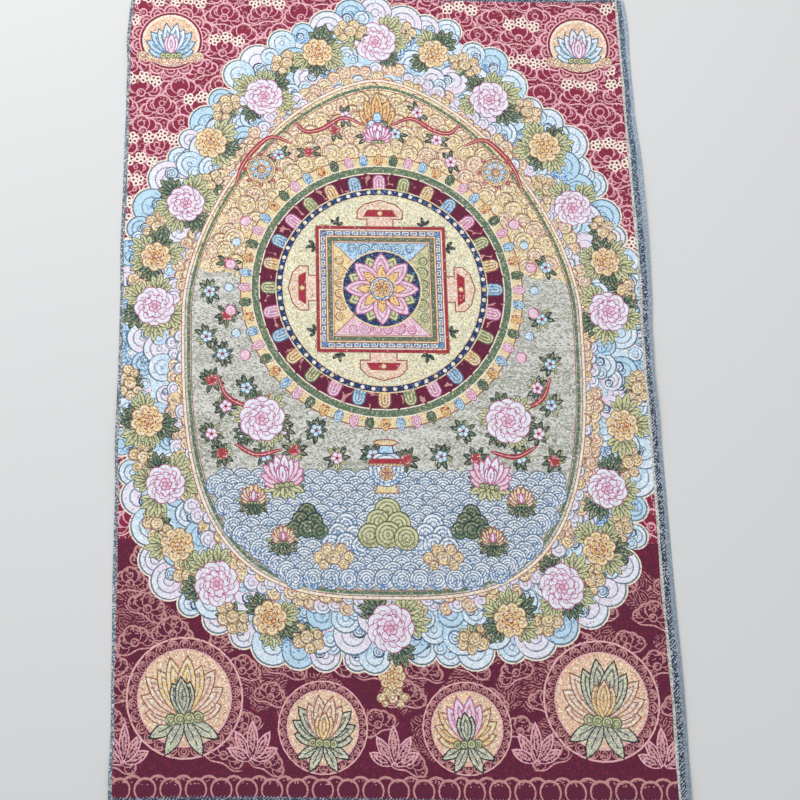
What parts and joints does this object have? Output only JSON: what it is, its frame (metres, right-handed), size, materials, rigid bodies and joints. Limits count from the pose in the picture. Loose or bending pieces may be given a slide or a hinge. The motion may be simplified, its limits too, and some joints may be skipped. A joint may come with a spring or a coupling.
{
  "type": "woven brocade thangka panel",
  "caption": "Flat rectangular jacquard brocade panel, densely patterned, with a twill margin all round and plain selvedges, lying slightly out of square.",
  "frame": {"origin": "on the surface the cloth lies on, under the middle of its outline", "axes": "+Y up the picture along the warp, +X across the weft, +Z out of the patterned face"},
  "size_m": [0.604, 0.9376, 0.005],
  "materials": {
    "brocade": "matt jacquard weave with gilt threads"
  },
  "bodies": {
    "root": {"woven_panel": "brocade"}
  },
  "joints": []
}
